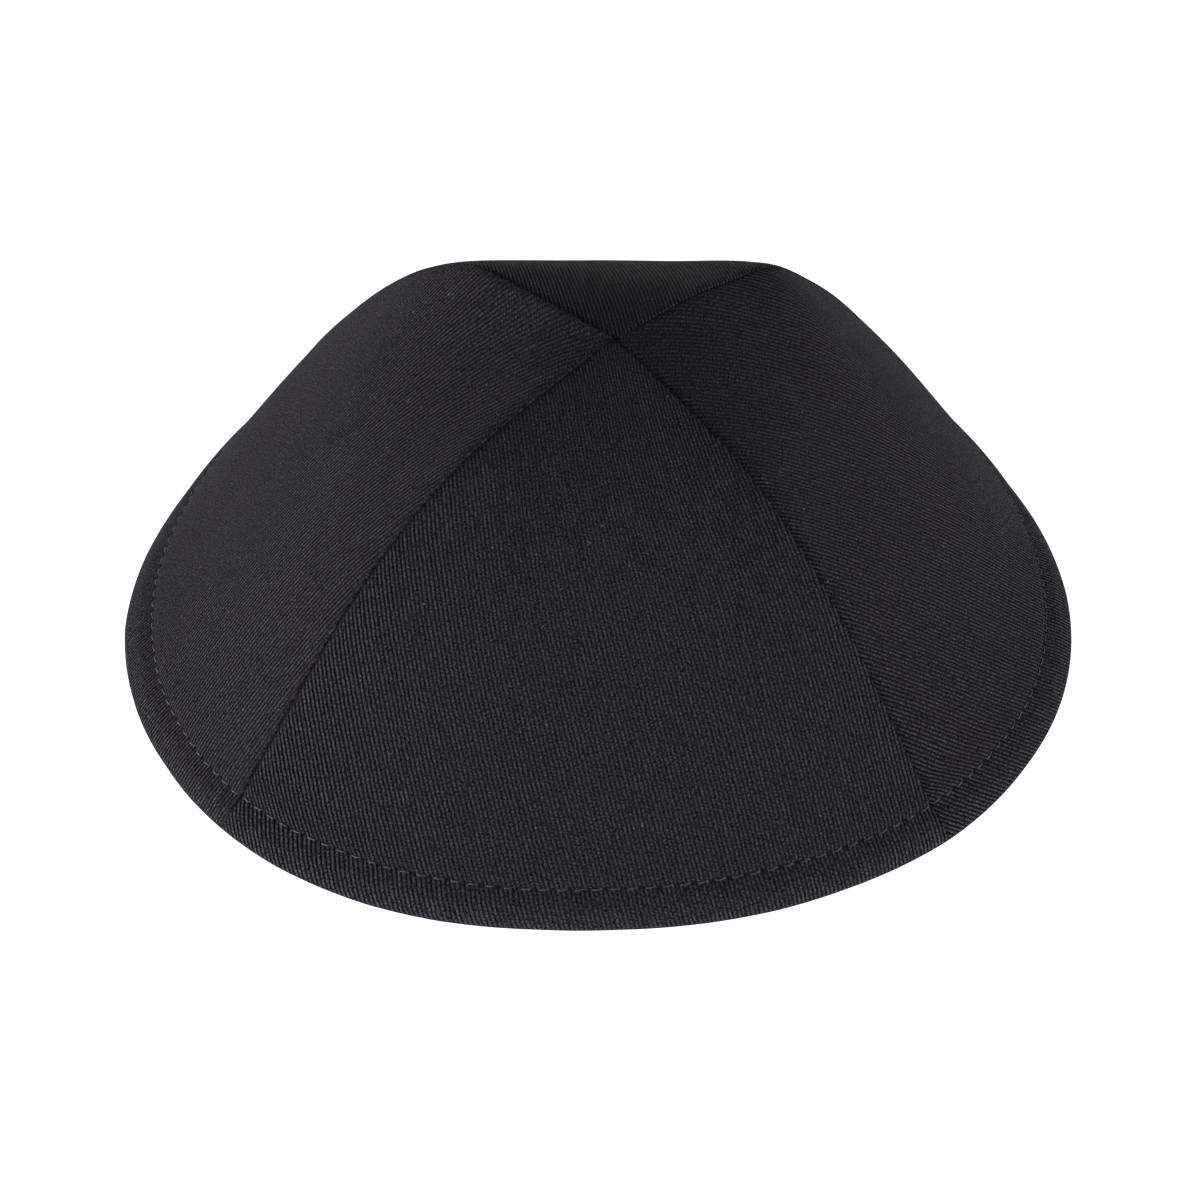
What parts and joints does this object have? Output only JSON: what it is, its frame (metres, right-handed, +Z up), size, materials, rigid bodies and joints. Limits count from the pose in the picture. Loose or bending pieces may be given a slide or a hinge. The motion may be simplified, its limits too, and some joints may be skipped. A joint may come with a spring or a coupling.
{
  "type": "kippah",
  "caption": "Shallow cloth cap of sewn twill panels meeting at the crown, with a turned and topstitched hem, lying open side down.",
  "frame": {"origin": "middle of the rim, on the surface that the cap rests on", "axes": "+Z up through the crown, -Y towards the front panel, +X to that panel's right as one looks at it"},
  "size_m": [0.1749, 0.174, 0.0604],
  "materials": {
    "twill": "matt black cotton twill with a faint soft sheen"
  },
  "bodies": {
    "root": {"panel_front": "twill", "panel_right": "twill", "panel_back": "twill", "panel_left": "twill"}
  },
  "joints": []
}
